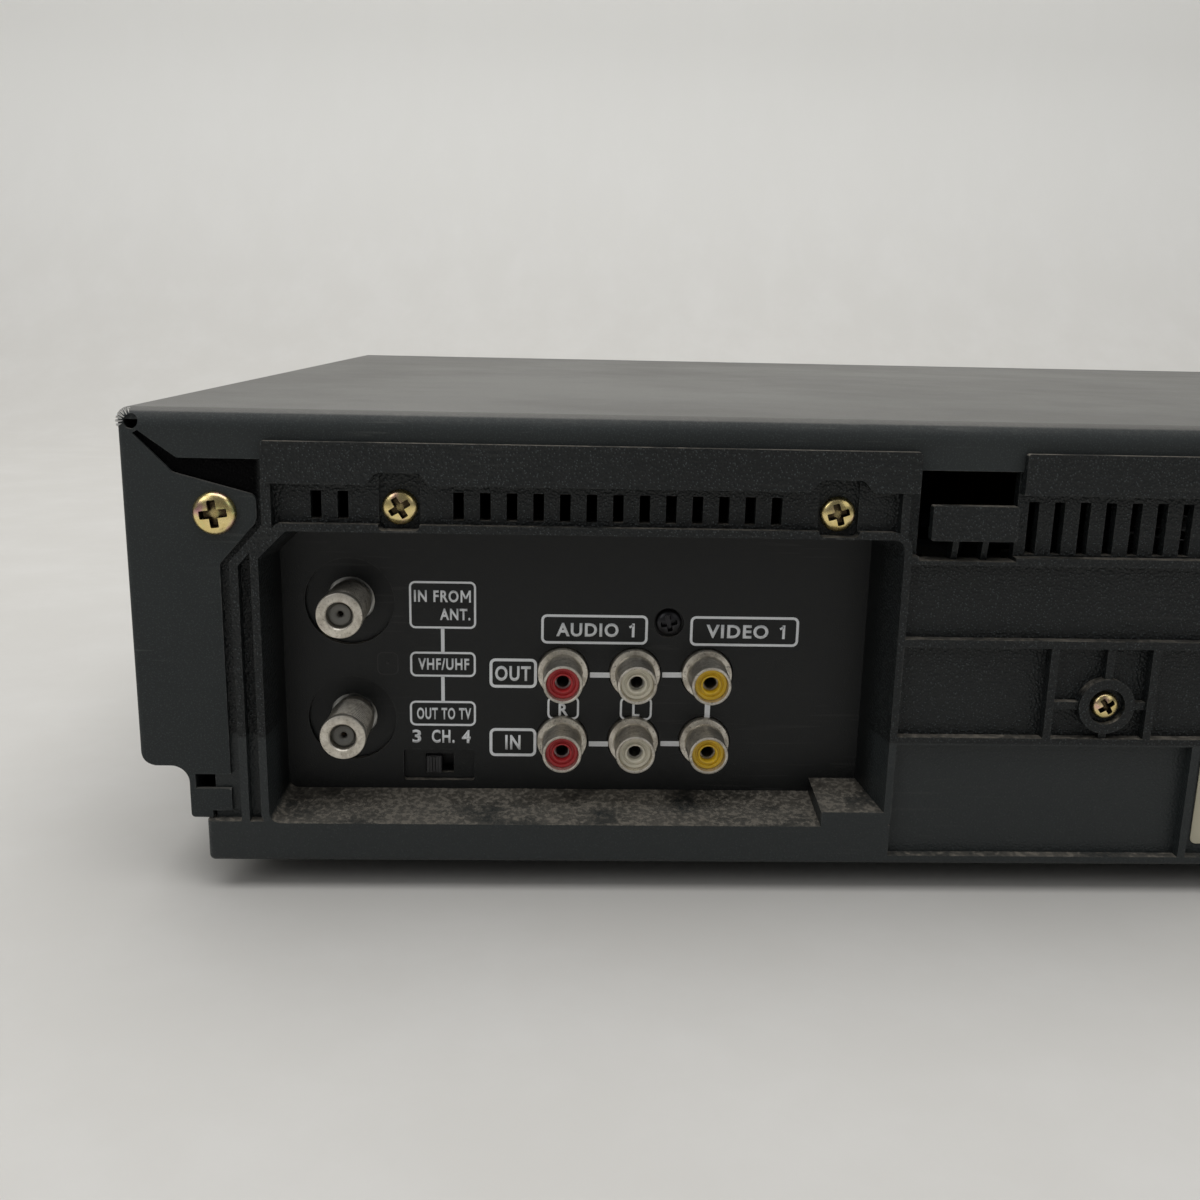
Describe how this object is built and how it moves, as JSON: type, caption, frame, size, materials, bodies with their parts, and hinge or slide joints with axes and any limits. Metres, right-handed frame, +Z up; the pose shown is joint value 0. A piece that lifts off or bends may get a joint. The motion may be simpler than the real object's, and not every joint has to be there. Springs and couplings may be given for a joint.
{
  "type": "video cassette recorder",
  "caption": "Low, wide front-loading tape deck: stepped sheet cover over a ribbed rear moulding with a terminal recess, hinged slot door, push buttons and a full tape drive inside.",
  "frame": {"origin": "middle of the footprint on the surface the feet stand on", "axes": "+X to the right seen from the front, +Y towards the rear terminals, +Z up"},
  "size_m": [0.43, 0.305, 0.099],
  "materials": {
    "cover_paint": "satin",
    "rear_plastic": "matte",
    "bezel_plastic": "satin",
    "chassis_plastic": "matte",
    "foot_plastic": "matte",
    "zinc_screws": "satin",
    "black_screw": "satin",
    "door_plastic": "gloss",
    "spring_steel": "satin",
    "window": "gloss",
    "board": "satin",
    "button_plastic": "satin",
    "nickel": "gloss",
    "yellow_insulator": "satin",
    "white_insulator": "satin",
    "red_insulator": "satin",
    "block_plastic": "matte",
    "core_plastic": "satin",
    "tin_plate": "satin",
    "ferrite": "matte",
    "zinc_sheet": "satin",
    "reel_plastic": "satin",
    "drum_metal": "satin",
    "bright_steel": "gloss",
    "flywheel_metal": "satin",
    "belt_rubber": "matte",
    "gear_plastic": "satin"
  },
  "bodies": {
    "housing": {"top_cover": "cover_paint", "rear_panel": "rear_plastic", "front_panel": "bezel_plastic", "chassis_tray": "chassis_plastic", "feet": "foot_plastic", "cover_screws": "zinc_screws", "panel_screws": "zinc_screws", "terminal_screw": "black_screw", "door_spring": "spring_steel", "display_window": "window", "front_board": "board", "front_jack_sleeves": "nickel", "front_jack_insulators": "yellow_insulator", "rca_sleeves": "nickel", "rca_insulators_yellow": "yellow_insulator", "rca_insulators_white": "white_insulator", "rca_insulators_red": "red_insulator", "jack_block": "block_plastic", "rf_connectors": "nickel", "rf_insulators": "core_plastic", "tuner_can": "tin_plate", "channel_switch_body": "block_plastic", "mains_inlet": "block_plastic", "main_board": "board", "power_board": "board", "power_transformer": "ferrite", "deck_plate": "zinc_sheet", "drum_base": "drum_metal", "drive_belt": "belt_rubber", "loading_motor": "bright_steel", "erase_head": "bright_steel", "audio_head": "bright_steel", "carriage_rails": "zinc_sheet"},
    "cassette_door": {"cassette_door": "door_plastic"},
    "channel_rocker": {"channel_rocker": "button_plastic"},
    "channel_switch_knob": {"channel_switch_knob": "button_plastic"},
    "carriage_sliders": {"carriage_sliders": "zinc_sheet"},
    "cassette_basket": {"cassette_basket": "zinc_sheet"},
    "head_drum": {"head_drum": "drum_metal"},
    "capstan": {"capstan_shaft": "bright_steel", "capstan_flywheel": "flywheel_metal"},
    "clutch": {"clutch": "reel_plastic"},
    "supply_reel_table": {"supply_reel_table": "reel_plastic"},
    "take_up_reel_table": {"take_up_reel_table": "reel_plastic"},
    "idler_arm": {"idler_arm": "zinc_sheet"},
    "idler_wheel": {"idler_wheel": "belt_rubber"},
    "pinch_arm": {"pinch_arm": "zinc_sheet"},
    "pinch_roller": {"pinch_roller": "belt_rubber"},
    "supply_tape_guide": {"supply_tape_guide": "bright_steel"},
    "take_up_tape_guide": {"take_up_tape_guide": "bright_steel"},
    "cam_gear": {"cam_gear": "gear_plastic"},
    "tension_arm": {"tension_arm": "zinc_sheet"},
    "power_button": {"power_button": "button_plastic"},
    "eject_button": {"eject_button": "button_plastic"},
    "play_button": {"play_button": "button_plastic"},
    "stop_button": {"stop_button": "button_plastic"},
    "rewind_button": {"rewind_button": "button_plastic"},
    "forward_button": {"forward_button": "button_plastic"},
    "pause_button": {"pause_button": "button_plastic"},
    "record_button": {"record_button": "button_plastic"}
  },
  "joints": [
    {"name": "cassette_door_swing", "type": "hinge", "parent": "housing", "child": "cassette_door", "pos_m": [-0.02, -0.14821, 0.0938], "axis": [1, 0, 0], "range_deg": [0, 86], "stiffness_Nm_per_rad": 0.01, "springref_deg": -34.38},
    {"name": "power_press", "type": "slide", "parent": "housing", "child": "power_button", "axis": [0, 1, 0], "range_m": [0, 0.0015], "stiffness_N_per_m": 400, "springref_m": -0.0015},
    {"name": "eject_press", "type": "slide", "parent": "housing", "child": "eject_button", "axis": [0, 1, 0], "range_m": [0, 0.0015], "stiffness_N_per_m": 400, "springref_m": -0.0015},
    {"name": "play_press", "type": "slide", "parent": "housing", "child": "play_button", "axis": [0, 1, 0], "range_m": [0, 0.0015], "stiffness_N_per_m": 400, "springref_m": -0.0015},
    {"name": "stop_press", "type": "slide", "parent": "housing", "child": "stop_button", "axis": [0, 1, 0], "range_m": [0, 0.0015], "stiffness_N_per_m": 400, "springref_m": -0.0015},
    {"name": "rewind_press", "type": "slide", "parent": "housing", "child": "rewind_button", "axis": [0, 1, 0], "range_m": [0, 0.0015], "stiffness_N_per_m": 400, "springref_m": -0.0015},
    {"name": "forward_press", "type": "slide", "parent": "housing", "child": "forward_button", "axis": [0, 1, 0], "range_m": [0, 0.0015], "stiffness_N_per_m": 400, "springref_m": -0.0015},
    {"name": "pause_press", "type": "slide", "parent": "housing", "child": "pause_button", "axis": [0, 1, 0], "range_m": [0, 0.0015], "stiffness_N_per_m": 400, "springref_m": -0.0015},
    {"name": "record_press", "type": "slide", "parent": "housing", "child": "record_button", "axis": [0, 1, 0], "range_m": [0, 0.0015], "stiffness_N_per_m": 400, "springref_m": -0.0015},
    {"name": "channel_rock", "type": "hinge", "parent": "housing", "child": "channel_rocker", "pos_m": [-0.178, -0.1455, 0.0485], "axis": [1, 0, 0], "range_deg": [-3, 3], "stiffness_Nm_per_rad": 0.3},
    {"name": "channel_switch_slide", "type": "slide", "parent": "housing", "child": "channel_switch_knob", "axis": [-1, 0, 0], "range_m": [0, 0.0024]},
    {"name": "carriage_in", "type": "slide", "parent": "housing", "child": "carriage_sliders", "axis": [0, 1, 0], "range_m": [0, 0.06]},
    {"name": "carriage_down", "type": "slide", "parent": "carriage_sliders", "child": "cassette_basket", "axis": [0, 0, -1], "range_m": [0, 0.0205]},
    {"name": "head_drum_spin", "type": "hinge", "parent": "housing", "child": "head_drum", "pos_m": [-0.02, 0.092, 0.048], "axis": [0, 0.104, 0.9946], "continuous": true},
    {"name": "capstan_spin", "type": "hinge", "parent": "housing", "child": "capstan", "pos_m": [0.052, 0.062, 0.0395], "axis": [0, 0, 1], "continuous": true},
    {"name": "clutch_spin", "type": "hinge", "parent": "housing", "child": "clutch", "pos_m": [-0.02, 0.03, 0.0395], "axis": [0, 0, 1], "continuous": true},
    {"name": "supply_reel_spin", "type": "hinge", "parent": "housing", "child": "supply_reel_table", "pos_m": [-0.066, -0.003, 0.0395], "axis": [0, 0, 1], "continuous": true},
    {"name": "take_up_reel_spin", "type": "hinge", "parent": "housing", "child": "take_up_reel_table", "pos_m": [0.026, -0.003, 0.0395], "axis": [0, 0, 1], "continuous": true},
    {"name": "idler_swing", "type": "hinge", "parent": "housing", "child": "idler_arm", "pos_m": [-0.02, 0.03, 0.0395], "axis": [0, 0, 1], "range_deg": [-7, 7]},
    {"name": "idler_spin", "type": "hinge", "parent": "idler_arm", "child": "idler_wheel", "pos_m": [-0.02, -0.0018, 0.0395], "axis": [0, 0, 1], "continuous": true},
    {"name": "cam_turn", "type": "hinge", "parent": "housing", "child": "cam_gear", "pos_m": [-0.078, 0.024, 0.038], "axis": [0, 0, 1], "range_deg": [0, 180]},
    {"name": "supply_guide_run", "type": "hinge", "parent": "housing", "child": "supply_tape_guide", "pos_m": [-0.01043, 0.0871, 0.0395], "axis": [0, 0, -1], "range_deg": [0, 65.1]},
    {"name": "take_up_guide_run", "type": "hinge", "parent": "housing", "child": "take_up_tape_guide", "pos_m": [-0.02957, 0.0871, 0.0395], "axis": [0, 0, 1], "range_deg": [0, 65.1]},
    {"name": "pinch_swing", "type": "hinge", "parent": "housing", "child": "pinch_arm", "pos_m": [0.078, 0.06, 0.0395], "axis": [0, 0, -1], "range_deg": [0, 30]},
    {"name": "pinch_roller_spin", "type": "hinge", "parent": "pinch_arm", "child": "pinch_roller", "pos_m": [0.05913, 0.04068, 0.0395], "axis": [0, 0, 1], "continuous": true},
    {"name": "tension_swing", "type": "hinge", "parent": "housing", "child": "tension_arm", "pos_m": [-0.108, 0.058, 0.0395], "axis": [0, 0, 1], "range_deg": [0, 30]}
  ],
  "couplings": [
    {"joint": "clutch_spin", "follows": "capstan_spin", "ratio": 0.4},
    {"joint": "idler_spin", "follows": "capstan_spin", "ratio": -0.24615},
    {"joint": "supply_guide_run", "follows": "cam_turn", "ratio": 0.36164},
    {"joint": "take_up_guide_run", "follows": "cam_turn", "ratio": 0.36164},
    {"joint": "pinch_swing", "follows": "cam_turn", "ratio": 0.16667},
    {"joint": "tension_swing", "follows": "cam_turn", "ratio": 0.16667}
  ]
}
